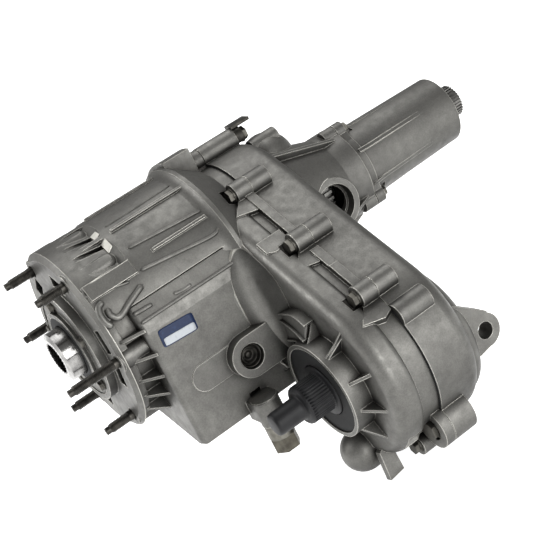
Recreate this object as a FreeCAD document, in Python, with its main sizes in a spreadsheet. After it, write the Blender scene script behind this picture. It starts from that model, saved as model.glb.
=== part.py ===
import FreeCAD, Part
import Sketcher
import math
import os
import re

# Single-speed transfer case with a planetary centre differential and a chain
# drive to a front output.  X runs rearward along the main shaft from the front
# mounting face, Y runs to the side away from the front output, Z is up.

V = FreeCAD.Vector
Turn = FreeCAD.Rotation

doc = FreeCAD.newDocument("transfer_case")
sheet = doc.addObject("Spreadsheet::Sheet", "dims")

# Driving dimensions in millimetres and degrees
sizes = {
    # chain case outline and stations along the main shaft
    "chainL": 194, "chainTurn": 32.8, "caseR": 80, "coverR": 84, "wall": 7,
    "wallX": 147, "rollX": 27, "seamX": 191, "bead": 0.4, "rearX": 242, "frontRound": 12,
    "rearRound": 15,
    # barrel, mounting flange and pilot ring
    "barrelR": 94, "lowR": 85, "barrelX": 149, "flareR": 16, "boreR": 78, "flangeR": 88,
    "flangeT": 12,
    "pilotR": 57, "pilotOut": 9, "pilotBore": 51,
    # studs of the transmission joint
    "studRing": 81, "studTurn": 64.5, "studR": 5, "studRoot": 4.7, "studOut": 30, "studLong": 51.5,
    "studIn": 20,
    # sump box with its filler and drain
    "sumpX": 28, "sumpY": 98, "sumpZ": 113, "fillX": 103, "fillZ": 62, "fillPad": 20, "fillOut": 13,
    "fillR": 12, "drainX": 94, "drainY": 112, "drainR": 13,
    # input tube, retainer and bearing
    "tubeR": 25, "tubeOut": 28, "splineR": 16.6, "seatR": 22.5, "inBearR": 37.5, "inBearX": 4,
    "inBearT": 16, "retainR": 50.7, "retainT": 8, "sealR": 34,
    # planetary differential
    "planetX": 56, "planetT": 16, "sunP": 30, "pinionP": 15, "gearGap": 4.3, "drumR": 72, "drumT": 3,
    "sleeveR": 22, "sleeveBore": 16.2, "mainR": 15, "coupleR": 66, "coupleX": 94, "coupleT": 46,
    # chain drive
    "sprocketX": 186, "sprocketT": 28, "toothTip": 57, "toothRoot": 52.5, "chainIn": 57.7, "chainOut": 66,
    "chainT": 25,
    # front output
    "mouthX": 127, "mouthR": 48, "mouthBore": 36.8, "outBearR": 36, "outBearX": 142, "outBearT": 17,
    "outSealX": 129, "outSealT": 9, "outSealR": 24, "outShaftR": 17.5, "plugX": 72, "plugStep": 102,
    "plugR": 19, "plugTip": 11.5, "plugBore": 12, "hubR": 43, "endBearR": 31, "endBearX": 234,
    "endBearT": 15, "endShaftR": 15, "bulgeR": 68, "bulgeOut": 15,
    # neck, rear bearing, speed sensor port and oil pump
    "neckBigR": 66, "neckR": 46, "neckX": 298, "tailX": 320, "neckBore": 38, "rearBearR": 36,
    "rearBearX": 250, "rearBearT": 17, "rearSeatR": 17.5, "toneX": 273, "toneT": 9, "toneR": 32,
    "portX": 272, "portZ": 8, "portY": 50, "portR": 26, "portBore": 20, "portSeat": 11, "pumpX": 292,
    "pumpT": 20,
    # tail housing and output spline
    "tailR": 38.5, "tailEndR": 36, "tailEnd": 447, "tailBore": 30, "tailFlange": 10, "earRing": 43,
    "earR": 8.5, "earBolt": 3, "shaftEnd": 470.4, "tailSpline": 17.2, "bushX": 420, "bushT": 18,
    # bolts along the seam, tail bolts and mounting ear
    "bossR": 10.5, "boltR": 4, "boltHead": 6.5, "topY": 15, "topUp": 5, "heavyR": 20, "heavyFront": 10,
    "heavyRear": 25, "lugX": 268, "lugY": 222, "lugZ": 122, "lugR": 16, "lugT": 20, "lugHole": 8,
}
for row, (alias, size) in enumerate(sizes.items(), 1):
    sheet.set("A%d" % row, alias)
    sheet.set("B%d" % row, str(size))
    sheet.setAlias("B%d" % row, alias)
doc.recompute()

words = re.compile(r"\b(%s)\b" % "|".join(sizes))
outY = "-chainL * cos(chainTurn)"
outZ = "-chainL * sin(chainTurn)"


def ex(text):
    return words.sub(r"dims.\1", str(text))


def bind(item, **texts):
    for prop, text in texts.items():
        item.setExpression(prop, ex(text))


def locate(item, x, y, z, rotation):
    item.Placement.Rotation = rotation
    for axis, text in zip("xyz", (x, y, z)):
        item.setExpression(".Placement.Base." + axis, ex(text))
    return item


directions = {
    "X": Turn(V(0, 0, 1), V(1, 0, 0)),
    "Y": Turn(V(1, 0, 0), -90),
    "-Y": Turn(V(1, 0, 0), 90),
    "Z": Turn(),
    "-Z": Turn(V(1, 0, 0), 180),
}


# Basic solids with sizes and place from the sheet
def rod(name, radius, length, x, y=0, z=0, axis="X"):
    item = doc.addObject("Part::Cylinder", name)
    bind(item, Radius=radius, Height=length)
    return locate(item, x, y, z, directions[axis])


def cone(name, radius1, radius2, length, x, y=0, z=0, axis="X"):
    item = doc.addObject("Part::Cone", name)
    bind(item, Radius1=radius1, Radius2=radius2, Height=length)
    return locate(item, x, y, z, directions[axis])


def block(name, sizeX, sizeY, sizeZ, x, y, z):
    item = doc.addObject("Part::Box", name)
    bind(item, Length=sizeX, Width=sizeY, Height=sizeZ)
    return locate(item, x, y, z, Turn())


def ball(name, radius, x, y, z):
    item = doc.addObject("Part::Sphere", name)
    bind(item, Radius=radius)
    return locate(item, x, y, z, Turn())


# Ring of round section about the main shaft
def torus(name, ringRadius, tubeRadius, x):
    item = doc.addObject("Part::Torus", name)
    bind(item, Radius1=ringRadius, Radius2=tubeRadius)
    return locate(item, x, 0, 0, directions["X"])


# Part of a cylinder round the main shaft, angles from the +Y side upward
def sector(name, radius, length, x, start, sweep):
    item = doc.addObject("Part::Cylinder", name)
    bind(item, Radius=radius, Height=length)
    item.Angle = sweep
    upright = Turn(V(0, 1, 0), V(0, 0, 1), V(1, 0, 0), "ZXY")
    return locate(item, x, 0, 0, Turn(V(1, 0, 0), start) * upright)


def join(name, *pieces):
    item = doc.addObject("Part::MultiFuse", name)
    item.Shapes = list(pieces)
    item.Refine = True
    return item


def cut(name, base, *tools):
    item = doc.addObject("Part::Cut", name)
    item.Base = base
    item.Tool = tools[0] if len(tools) == 1 else join(name + "_tools", *tools)
    item.Refine = True
    return item


def ring(name, outer, inner, length, x, y=0, z=0):
    hole = rod(name + "_bore", inner, "(%s) + 2" % length, "(%s) - 1" % x, y, z)
    return cut(name, rod(name + "_disc", outer, length, x, y, z), hole)


# Sketched bodies
def newSketch(body, role):
    sketch = body.newObject("Sketcher::SketchObject", body.Name + "_sketch")
    plane = [item for item in body.Origin.OriginFeatures if item.Role == role][0]
    sketch.AttachmentSupport = (plane, [""])
    sketch.MapMode = "FlatFace"
    return sketch


def drive(sketch, kind, *where):
    number = sketch.addConstraint(Sketcher.Constraint(kind, *where[:-1]))
    sketch.setExpression("Constraints[%d]" % number, ex(where[-1]))


def polygon(sketch, points):
    total = len(points)
    first = sketch.GeometryCount
    corners = [V(50 * math.cos(2 * math.pi * k / total), 50 * math.sin(2 * math.pi * k / total), 0)
               for k in range(total)]
    for k in range(total):
        sketch.addGeometry(Part.LineSegment(corners[k], corners[(k + 1) % total]), False)
    for k in range(total):
        after = first + (k + 1) % total
        sketch.addConstraint(Sketcher.Constraint("Coincident", first + k, 2, after, 1))
        drive(sketch, "DistanceX", -1, 1, first + k, 1, corners[k].x, points[k][0])
        drive(sketch, "DistanceY", -1, 1, first + k, 1, corners[k].y, points[k][1])


def pad(body, sketch, length, both=False):
    item = body.newObject("PartDesign::Pad", body.Name + "_pad")
    item.Profile = sketch
    bind(item, Length=length)
    item.Midplane = both
    return item


# Plate drawn as (x, z) points, extruded about its own XZ plane and turned
# about an axis along X through (y, z)
def fin(name, points, thick, turn=0, y=0, z=0):
    body = doc.addObject("PartDesign::Body", name)
    sketch = newSketch(body, "XZ_Plane")
    polygon(sketch, points)
    pad(body, sketch, thick, True)
    return locate(body, 0, y, z, Turn(V(1, 0, 0), turn))


# Solid of (y, z) points extruded rearward from x
def prism(name, points, length, x):
    body = doc.addObject("PartDesign::Body", name)
    sketch = newSketch(body, "YZ_Plane")
    polygon(sketch, points)
    pad(body, sketch, length)
    return locate(body, x, 0, 0, Turn())


# Solid of revolution of (x, radius) points about an axis along X
def turned(name, points, y=0, z=0):
    body = doc.addObject("PartDesign::Body", name)
    sketch = newSketch(body, "XZ_Plane")
    polygon(sketch, points)
    item = body.newObject("PartDesign::Revolution", name + "_turn")
    item.Profile = sketch
    item.ReferenceAxis = (sketch, ["H_Axis"])
    item.Angle = 360
    return locate(body, 0, y, z, Turn())


# Two arcs about the main shaft and the front output with their tangent lines
def beltBody(name, radiusA, radiusB, length, x):
    body = doc.addObject("PartDesign::Body", name)
    sketch = newSketch(body, "YZ_Plane")
    radius = 75.0
    angle = math.radians(180 + sizes["chainTurn"])
    far = V(sizes["chainL"] * math.cos(angle), sizes["chainL"] * math.sin(angle), 0)
    side = V(-math.sin(angle), math.cos(angle), 0) * radius
    half = math.pi / 2
    arcA = Part.ArcOfCircle(Part.Circle(V(), V(0, 0, 1), radius), angle + half, angle + 3 * half)
    arcB = Part.ArcOfCircle(Part.Circle(far, V(0, 0, 1), radius), angle - half, angle + half)
    lineC = Part.LineSegment(side * -1, far - side)
    lineD = Part.LineSegment(far + side, side)
    a, b, c, d = [sketch.addGeometry(shape, False) for shape in (arcA, arcB, lineC, lineD)]
    for first, second in ((a, c), (c, b), (b, d), (d, a)):
        sketch.addConstraint(Sketcher.Constraint("Tangent", first, 2, second, 1))
    sketch.addConstraint(Sketcher.Constraint("Coincident", a, 3, -1, 1))
    drive(sketch, "Radius", a, radius, radiusA)
    drive(sketch, "Radius", b, radius, radiusB)
    drive(sketch, "DistanceX", -1, 1, b, 3, far.x, outY)
    drive(sketch, "DistanceY", -1, 1, b, 3, far.y, outZ)
    pad(body, sketch, length)
    return locate(body, x, 0, 0, Turn())


# Rounds the rim of a padded body at its near (0) or far (1) end
def roundRim(body, radius, end):
    doc.recompute()
    base = body.Tip
    box = base.Shape.BoundBox
    plane = (box.XMin, box.XMax)[end]
    rim = []
    for number, edge in enumerate(base.Shape.Edges, 1):
        limits = edge.BoundBox
        if abs(limits.XMin - plane) < 0.01 and abs(limits.XMax - plane) < 0.01:
            rim.append("Edge%d" % number)
    item = body.newObject("PartDesign::Fillet", body.Name + "_round")
    item.Base = (base, rim)
    bind(item, Radius=radius)
    return body


# Wheel with trapezium gaps cut into its rim, or into its bore when inside is set
def toothed(name, rim, tip, root, count, gapTip, gapRoot, length, x, y=0, z=0, turn=0, inside=False):
    body = doc.addObject("PartDesign::Body", name)
    disc = newSketch(body, "YZ_Plane")
    disc.addGeometry(Part.Circle(V(), V(0, 0, 1), 40), False)
    disc.addConstraint(Sketcher.Constraint("Coincident", 0, 3, -1, 1))
    drive(disc, "Radius", 0, 40, rim)
    if inside:
        disc.addGeometry(Part.Circle(V(), V(0, 0, 1), 20), False)
        disc.addConstraint(Sketcher.Constraint("Coincident", 1, 3, -1, 1))
        drive(disc, "Radius", 1, 20, tip)
    pad(body, disc, length)
    doc.recompute()
    lip = "(%s) %s 1" % (tip, "-" if inside else "+")
    gap = newSketch(body, "YZ_Plane")
    polygon(gap, [("-(%s) / 2" % gapRoot, root), ("-(%s) / 2" % gapTip, lip),
                  ("(%s) / 2" % gapTip, lip), ("(%s) / 2" % gapRoot, root)])
    notch = body.newObject("PartDesign::Pocket", name + "_notch")
    notch.Profile = gap
    notch.Type = "ThroughAll"
    notch.Reversed = True
    doc.recompute()
    row = body.newObject("PartDesign::PolarPattern", name + "_row")
    row.Originals = [notch]
    row.Axis = (disc, ["N_Axis"])
    row.Angle = 360
    row.Occurrences = count
    body.Tip = row
    return locate(body, x, y, z, Turn(V(1, 0, 0), turn))


def polar(radius, turn):
    return "(%s) * cos(%s)" % (radius, turn), "(%s) * sin(%s)" % (radius, turn)


# Place along the line from the main shaft to the front output and off it
def along(run, off):
    return ("-(%s) * cos(chainTurn) - (%s) * sin(chainTurn)" % (run, off),
            "-(%s) * sin(chainTurn) + (%s) * cos(chainTurn)" % (run, off))


nodes = []


def node(item):
    item.Label = item.Name
    nodes.append(item)
    return item


# Places shared by both case halves
seamBolts = [along(run, off) for run, off in (
    (19, "caseR + 3"), (106, "caseR + 5"), (192, "coverR + 3"), ("chainL + coverR - 14", -56),
    (192, "-coverR - 3"), (106, "-caseR - 5"), (19, "-caseR - 3"), ("-caseR + 18", "-caseR + 22"),
    ("-caseR - 8", 6))]
topBolt = ("topY", "caseR + topUp")
seamBolts.append(topBolt)
heavyBolt = along("chainL + coverR - 2", -24)
bulge = along("chainL + 6", -10)
earTurns = (104, 224, 344)
ears = [polar("earRing", turn) for turn in earTurns]


# Bar that lies along the line from the main shaft to the front output
def bar(name, run, off, length, height, sizeX, x):
    item = doc.addObject("Part::Box", name)
    bind(item, Length=sizeX, Width=length, Height=height)
    y, z = along("(%s) + (%s) / 2" % (run, length), off)
    locate(item, x, y, z, Turn(V(1, 0, 0), 30))
    item.setExpression(".Placement.Rotation.Angle", "dims.chainTurn * 1 deg")
    return item


# Plate parallel to the upper side of the chain case, drawn as (x, run) points
def wedge(name, run, off, thick, points):
    item = fin(name, points, thick, 0, *along(run, off))
    item.Placement.Rotation = Turn(V(1, 0, 0), 120)
    item.setExpression(".Placement.Rotation.Angle", "(90 + dims.chainTurn) * 1 deg")
    return item


# Tapered web that joins a bolt ear to the tube
def earWeb(name, turn, length, x):
    web = prism(name, [("earRing", "-earR"), ("earRing", "earR"), (20, "tailR - 6"),
                       (20, "-tailR + 6")], length, x)
    return locate(web, x, 0, 0, Turn(V(1, 0, 0), turn))


# Front case casting
def frontCase():
    solids = [
        rod("mount_flange", "flangeR", "flangeT", 0),
        ring("pilot_ring", "pilotR", "pilotBore", "pilotOut + 1", "-pilotOut"),
        rod("barrel_low", "lowR", "wallX", 0),
        sector("barrel_high", "barrelR", "barrelX - 4", 4, -30, 190),
        cone("barrel_chamfer", "flangeR", "barrelR", 4, 0),
        cut("barrel_flare", rod("flare_blank", "barrelR + 6", "flareR", "barrelX - flareR"),
            torus("flare_hollow", "barrelR + flareR - 0.4", "flareR", "barrelX - flareR - 1")),
        cone("shoulder", "barrelR + 6", "caseR + 1", 28, "barrelX"),
        sector("top_shoulder", "barrelR + 10", 30, "barrelX + 1", 52, 38),
        roundRim(roundRim(beltBody("chain_roll", "caseR", "coverR", "rollX", "wallX"),
                          "frontRound", 0), 6, 1),
        beltBody("chain_flange", "caseR - 3", "coverR - 3", "seamX - wallX - 10", "wallX + 10"),
        rod("mouth", "mouthR", "wallX - mouthX + 5", "mouthX", outY, outZ),
        rod("dome_root", 21, "seamX - wallX", "wallX - 2", -144, -186),
        ball("dome", 21, "wallX - 2", -144, -186),
    ]
    sump = prism("sump", [("-sumpY", 5), ("-sumpY", "-sumpZ"), (-86, "-sumpZ - 3"), (14, "-lowR - 2"),
                          (14, 30), (-88, 31), (-95.5, 16)], "wallX - sumpX + 4", "sumpX")
    solids.append(roundRim(sump, 5, 0))
    for number, turn in enumerate(range(0, 360, 60)):
        y, z = polar("studRing", "studTurn + %d" % turn)
        solids.append(rod("stud_boss%d" % number, 11, "studIn + 8", 0, y, z))
    # filler pad running back to the chain case, and the raised slot beside it
    solids += [
        rod("fill_pad", "fillPad", "fillOut + 10", "fillX", "-sumpY + 10", "-fillZ", "-Y"),
        block("fill_web", "wallX - fillX + 2", "fillOut + 10", "fillPad * 2", "fillX", "-sumpY - fillOut",
              "-fillZ - fillPad"),
        rod("slot_end", 13, 6, "fillX - 44", "-sumpY + 5", "-fillZ + 4", "-Y"),
        block("slot_web", 40, 6, 26, "fillX - 44", "-sumpY - 1", "-fillZ - 9"),
        rod("drain_boss", "drainR", 26, "drainX", "-drainY", "-sumpZ - 13", "Z"),
        block("drain_web", "drainR * 2", "drainY - sumpY + 6", 20, "drainX - drainR", "-drainY",
              "-sumpZ - 8"),
    ]
    # long beads and pads on the barrel, angles from the +Y side
    for number, (turn, start, end, rise, thick) in enumerate((
            (115, 60, 146, 2.5, 3), (140.5, 76, 140, 2.5, 3), (84, 58, 140, 2.5, 3), (40, 58, 140, 2.5, 3),
            (0, 50, 140, 2.5, 3), (142, 4, 58, 2, 16))):
        solids.append(fin("bead%d" % number, [
            (start, "barrelR - 4"), (end, "barrelR - 4"), (end - 3, "barrelR + %s" % rise),
            (start + 3, "barrelR + %s" % rise)], thick, turn - 90))
    # gussets between the mounting flange and the sump box
    for number, turn in enumerate((174, 188, 202, 216, 232)):
        solids.append(fin("gusset%d" % number, [
            (6, "lowR - 5"), ("sumpX + 2", "lowR - 5"), ("sumpX + 2", "lowR + 16"), (6, "lowR + 2")],
            3, turn - 90))
    # gussets round the front output mouth
    for number, turn in enumerate((55, 90, 130, 165, 198, 235)):
        solids.append(fin("mouth_fin%d" % number, [
            ("mouthX + 3", "mouthR - 4"), ("wallX + 2", "mouthR - 4"), ("wallX + 2", "mouthR + 22")],
            3, turn - 90, outY, outZ))
    solids.append(fin("foot", [(144, 78), (158, 70), (158, 103), (141, 105)], 8, 262 - 90, outY, outZ))
    # seam bolt bosses, each with a low pad that carries the rim of the joint
    for number, (y, z) in enumerate(seamBolts):
        solids.append(rod("front_boss%d" % number, "bossR", 16, "seamX - 16", y, z))
    solids.append(rod("heavy_boss", "heavyR", "heavyFront", "seamX - heavyFront", *heavyBolt))
    solids.append(block("top_boss_web", 22, 18, 20, "seamX - 22", "topY - 9", "caseR + topUp - 20"))
    # raised ledges of the seam between the bosses, upper and lower side
    for number, (run, off, length) in enumerate((
            (46, "caseR - 8", 34), (79, "caseR - 8", 34), (136, "caseR - 7", 28), (165, "caseR - 6", 34),
            (62, "-caseR - 4", 76), (150, "-caseR - 6", 72))):
        solids.append(bar("seam_ledge%d" % number, run, off, length, 12, 9, "seamX - 9"))
    for number, run in enumerate((19, 106, 192)):
        solids.append(wedge("seam_wedge%d" % number, run, "caseR - 4", 13, [
            ("seamX", 6), ("seamX", 26), ("seamX - 10", 30), ("seamX - 30", 24), ("seamX - 17", 10),
            ("seamX - 16", 6)]))
    solids.append(wedge("seam_step", 106, "caseR - 3", 12, [
        ("seamX - 12", -5), ("seamX - 12", -24), ("seamX - 38", -24), ("seamX - 38", -9),
        ("seamX - 30", -5)]))
    body = join("front_outer", *solids)
    inner = [
        rod("barrel_bore", "boreR", "wallX - 14", 24),
        rod("bearing_seat", "inBearR", "inBearT + 6", "inBearX"),
        rod("seat_mouth", "tubeR + 5", 8, "-2"),
        ring("web_relief", "boreR", 46, 10, 15),
        cut("chain_room", beltBody("chain_space", "caseR - wall", "coverR - wall",
                                   "seamX - wallX - 5", "wallX + 6"),
            rod("output_hub", "hubR", "outBearX + outBearT - wallX", "wallX", outY, outZ)),
        cut("sump_room", prism("sump_space", [
            ("-sumpY + 6", -4), ("-sumpY + 6", "-sumpZ + 6"), (-86, "-sumpZ + 4"), (0, "-lowR + 5"),
            (0, 0)], "wallX - sumpX", "sumpX + 6"),
            rod("magnet_seat", 14, 20, "sumpX + 40", -72, "-sumpZ - 4", "Z")),
        rod("mouth_bore", "mouthBore", "outBearX - mouthX - 2.5", "mouthX - 1", outY, outZ),
        rod("mouth_counter", "mouthR - 4", 4, "mouthX - 1", outY, outZ),
        rod("mouth_lip", 30, 12, "outBearX - 6", outY, outZ),
        rod("mouth_seat", "outBearR", "outBearT + 2", "outBearX - 0.3", outY, outZ),
        rod("fill_hole", "fillR", 30, "fillX", "-sumpY + 16", "-fillZ", "-Y"),
        rod("drain_hole", 8, 20, "drainX", "-drainY", "-sumpZ - 14", "Z"),
        block("drain_passage", 12, 26, 10, "drainX - 6", "-drainY - 2", "-sumpZ + 7"),
    ]
    # shallow facets behind the mounting flange, with a round-ended tongue left in each
    for number, (turn, tongue) in enumerate(((127, 129.5), (102, 96), (72, 66), (42, 36))):
        facet = fin("facet%d" % number, [
            (14, "barrelR + 0.5"), (48, "barrelR - 5"), (58, "barrelR + 1")], 36, turn - 90)
        tongueY, tongueZ = polar("barrelR - 8", tongue)
        inner.append(cut("facet_left%d" % number, facet,
                         rod("tongue%d" % number, 9, 36, 6, tongueY, tongueZ),
                         ball("tongue_end%d" % number, 9, 42, tongueY, tongueZ)))
    for number, (turn, thick) in enumerate(((119, 5), (107, 8), (82, 8), (54, 6))):
        inner.append(fin("channel%d" % number, [
            (15, "barrelR + 1"), (46, "barrelR - 9"), (55, "barrelR + 1")], thick, turn - 90))
    for number, turn in enumerate((110, 170, 200, 290, 335, 50)):
        inner.append(fin("flange_pocket%d" % number, [(-2, 63), (9, 63), (9, 76), (-2, 76)], 24, turn - 90))
    for number, turn in enumerate(range(0, 360, 60)):
        y, z = polar("studRing", "studTurn + %d" % turn)
        inner.append(rod("stud_hole%d" % number, "studRoot", "studIn + 3", -1, y, z))
        inner.append(rod("stud_relief%d" % number, "studR + 1.5", 2, -1, y, z))
    for number, turn in enumerate(range(18, 378, 72)):
        y, z = polar("retainR - 6.2", turn)
        inner.append(rod("retain_hole%d" % number, 3, 17, -1, y, z))
    for number, (y, z) in enumerate(seamBolts):
        inner.append(rod("front_drill%d" % number, "boltR", 18, "seamX - 17", y, z))
        inner.append(rod("front_face%d" % number, "boltHead + 2", 10, "seamX - 26", y, z))
    inner.append(rod("heavy_drill", 6, 40, "seamX - 36", *heavyBolt))
    inner.append(rod("heavy_sink", 11.5, 30, "seamX - heavyFront - 26", *heavyBolt))
    return cut("front_case", body, *inner)


# Rear case casting with chain cover, neck, sensor port and mounting ear
def rearCase():
    solids = [
        roundRim(beltBody("chain_rear", "caseR", "coverR", "rearX - seamX - bead", "seamX + bead"),
                 "rearRound", 1),
        cone("neck_cone", "neckBigR", "neckR", "neckX - rearX + 4", "rearX - 4"),
        rod("neck_end", "neckR", "tailX - neckX", "neckX"),
        rod("top_lobe", 11, "41 - bead", "seamX + bead", *topBolt),
        block("top_web", 38, 16, 20, "seamX + bead", "topY - 8", "caseR + topUp - 22"),
        rod("stub", 9, 30, "rearX - 2", 4, "caseR - 11"),
        rod("port_boss", "portR", "portY - 16", "portX", -16, "-portZ", "-Y"),
        rod("heavy_rear", "heavyR", "heavyRear", "seamX + bead", *heavyBolt),
        rod("side_bump", 12, 34, "seamX + bead", *along(222, "coverR - 10")),
        roundRim(turned("end_bulge", [
            ("rearX - 10", 0), ("rearX - 10", "bulgeR"), ("rearX + bulgeOut", "bulgeR"),
            ("rearX + bulgeOut", 0)], *bulge), "rearRound", 1),
    ]
    for number, (y, z) in enumerate(ears):
        solids.append(rod("neck_ear%d" % number, "earR", 14, "tailX - 14", y, z))
        solids.append(earWeb("neck_web%d" % number, earTurns[number], 12, "tailX - 12"))
    solids.append(ball("neck_hump", 27, "rearX + 12", 10, "neckBigR - 16"))
    for number, turn in enumerate((30, 120, 210, 255, 300)):
        solids.append(fin("neck_rib%d" % number, [
            ("rearX - 4", 40), ("tailX - 8", 40), ("tailX - 8", "neckR + 1"), ("rearX - 4", "neckBigR + 8")],
            4, turn - 90))
    for number, (y, z) in enumerate(seamBolts[:-1]):
        solids.append(rod("rear_boss%d" % number, "bossR", 22, "seamX + bead", y, z))
    # mounting ear, a plate across the drive line with a rounded end
    plate = doc.addObject("PartDesign::Body", "lug_plate")
    sketch = newSketch(plate, "XZ_Plane")
    polygon(sketch, [("rearX - 36", "-lugZ + 44"), ("lugX - 20", "-lugZ + 38"), ("lugX + 9", "-lugZ + 15"),
                     ("lugX + 4", "-lugZ - 15"), ("lugX - 14", "-lugZ - 18"), ("rearX - 36", "-lugZ")])
    pad(plate, sketch, "lugT")
    solids += [locate(plate, 0, "-lugY + lugT", 0, Turn()),
               rod("lug_end", "lugR", "lugT", "lugX", "-lugY + lugT", "-lugZ", "-Y")]
    body = join("rear_outer", *solids)
    inner = [
        beltBody("cover_room", "caseR - wall", "coverR - wall", "rearX - seamX - 6", "seamX - 1"),
        rod("neck_front", 33, "rearBearX - rearX + 12", "rearX - 10"),
        rod("rear_seat", "rearBearR", "tailX - rearBearX", "rearBearX"),
        rod("neck_room", "neckBore", 60, "rearBearX + rearBearT + 3"),
        rod("port_seat", "portBore", "portSeat + 4", "portX", "-portY + portSeat", "-portZ", "-Y"),
        rod("port_inner", "portBore - 2.5", "portSeat + 10", "portX", "-portY + portSeat * 2",
            "-portZ", "-Y"),
        rod("port_face", "portR + 1", 30, "portX", "-portY", "-portZ", "-Y"),
        rod("lug_hole", "lugHole", "lugT + 4", "lugX", "-lugY + lugT + 2", "-lugZ", "-Y"),
        rod("heavy_tap", 6, 24, "seamX - 1", *heavyBolt),
        rod("top_drill", "boltR", 20, "seamX - 1", *topBolt),
        rod("bracket_tap", 4, 18, "seamX + 25", *topBolt),
        cut("bulge_room", rod("bulge_space", "bulgeR - wall", "bulgeOut + 2", "rearX - wall - 2", *bulge),
            ring("end_hub", "endBearR + 6", "endBearR", "rearX + bulgeOut - endBearX", "endBearX",
                 outY, outZ)),
    ]
    for number, (y, z) in enumerate(seamBolts[:-1]):
        inner.append(rod("rear_tap%d" % number, "boltR", 20, "seamX - 1", y, z))
    for number, (y, z) in enumerate(ears):
        inner.append(rod("ear_tap%d" % number, "earBolt", 14, "tailX - 13", y, z))
    return cut("rear_case", body, *inner)


# Tail housing with its three-eared flange and faint casting ridges
def tailHousing():
    solids = [
        rod("tail_flange", "tailR + 1", "tailFlange", "tailX + 1"),
        cone("tail_tube", "tailR", "tailEndR", "tailEnd - tailX - 1", "tailX + 1"),
    ]
    for number, (y, z) in enumerate(ears):
        solids.append(rod("tail_ear%d" % number, "earR", "tailFlange", "tailX + 1", y, z))
        solids.append(earWeb("tail_web%d" % number, earTurns[number], "tailFlange", "tailX + 1"))
    for number, turn in enumerate((95, 150, 205, 260, 315, 10)):
        solids.append(fin("tail_ridge%d" % number, [
            ("tailX + 6", 33), ("tailEnd - 30", 33), ("tailEnd - 40", "tailEndR + 0.8"),
            ("tailX + 20", "tailR + 0.4"), ("tailX + 6", "tailR + 3")], 4, turn - 90))
    body = join("tail_outer", *solids)
    inner = [
        rod("tail_room", "tailBore", "bushX - tailX", "tailX"),
        rod("bush_seat", "tailSpline + 5", "bushT + 12", "bushX - 1"),
        rod("tail_seal_seat", 28, 10, "tailEnd - 8"),
    ]
    for number, (y, z) in enumerate(ears):
        inner.append(rod("ear_drill%d" % number, "earBolt + 0.3", "tailFlange + 4", "tailX - 1", y, z))
        inner.append(rod("head_relief%d" % number, 7, 10, "tailX + 1 + tailFlange", y, z))
    return cut("tail_housing", body, *inner)


# Hexagon-headed screws, heads toward the front (-1) or the rear (1)
def screws(name, places, faceX, shank, length, head, headT, way):
    pieces = []
    for number, (y, z) in enumerate(places):
        stem = "(%s) - %s" % (faceX, length) if way > 0 else faceX
        pieces.append(rod("%s_stem%d" % (name, number), shank, length, stem, y, z))
        prismItem = doc.addObject("Part::Prism", "%s_head%d" % (name, number))
        prismItem.Polygon = 6
        bind(prismItem, Circumradius=head, Height=headT)
        start = faceX if way > 0 else "(%s) - (%s)" % (faceX, headT)
        locate(prismItem, start, y, z, directions["X"])
        washer = rod("%s_flange%d" % (name, number), "(%s) * 1.12" % head, 1.6,
                     faceX if way > 0 else "(%s) - 1.6" % faceX, y, z)
        pieces += [prismItem, washer]
    return join(name, *pieces)


# Bearing rings: inner and outer ring of a shielded ball bearing
def bearing(name, bore, outer, width, x, y=0, z=0):
    inner = node(ring(name + "_inner", "(%s) + 4.6" % bore, bore, width, x, y, z))
    low, high = "(%s) + 5" % bore, "(%s) - 4" % outer
    start, end = "(%s) + 0.8" % x, "(%s) + (%s) - 0.8" % (x, width)
    outerRing = turned(name + "_outer", [
        (x, high), (start, high), (start, low), ("%s + 0.8" % start, low), ("%s + 0.8" % start, high),
        ("%s - 0.8" % end, high), ("%s - 0.8" % end, low), (end, low), (end, high),
        ("(%s) + (%s)" % (x, width), high), ("(%s) + (%s)" % (x, width), outer), (x, outer)], y, z)
    return inner, node(outerRing)


node(frontCase())
node(rearCase())
node(tailHousing())

# Liquid sealing bead in the seam and gasket of the tail housing
bead = cut("case_gasket_band", beltBody("gasket_outer", "caseR - 1", "coverR - 1", "bead", "seamX"),
           beltBody("gasket_inner", "caseR - wall + 0.5", "coverR - wall + 0.5", 2, "seamX - 1"),
           rod("bead_gap_heavy", 7.5, 3, "seamX - 1.5", *heavyBolt))
node(cut("case_gasket", bead, *[rod("bead_gap%d" % k, "boltR + 1", 3, "seamX - 1.5", y, z)
                                for k, (y, z) in enumerate(seamBolts)]))
tailGasket = join("tail_gasket_disc", rod("gasket_disc", "tailR + 1", 1, "tailX"),
                  *[rod("gasket_ear%d" % k, "earR", 1, "tailX", y, z) for k, (y, z) in enumerate(ears)],
                  *[earWeb("gasket_web%d" % k, turn, 1, "tailX") for k, turn in enumerate(earTurns)])
node(cut("tail_gasket", tailGasket, rod("gasket_bore", "neckBore + 0.5", 3, "tailX - 1"),
         *[rod("gasket_drill%d" % k, "earBolt + 0.5", 3, "tailX - 1", y, z)
           for k, (y, z) in enumerate(ears)]))

# Studs of the transmission joint, one of them long
studPieces = []
for number, turn in enumerate(range(0, 360, 60)):
    y, z = polar("studRing", "studTurn + %d" % turn)
    reach = "studLong" if number == 2 else "studOut"
    studPieces.append(rod("stud%d" % number, "studR", "%s - 7" % reach, "-%s + 7" % reach, y, z))
    studPieces.append(rod("stud_root%d" % number, "studRoot", "studIn + 1", -1, y, z))
    studPieces.append(cone("stud_tip%d" % number, "studR - 1.6", "studR - 1.2", 7, "-%s" % reach, y, z))
node(join("transmission_studs", *studPieces))

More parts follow.
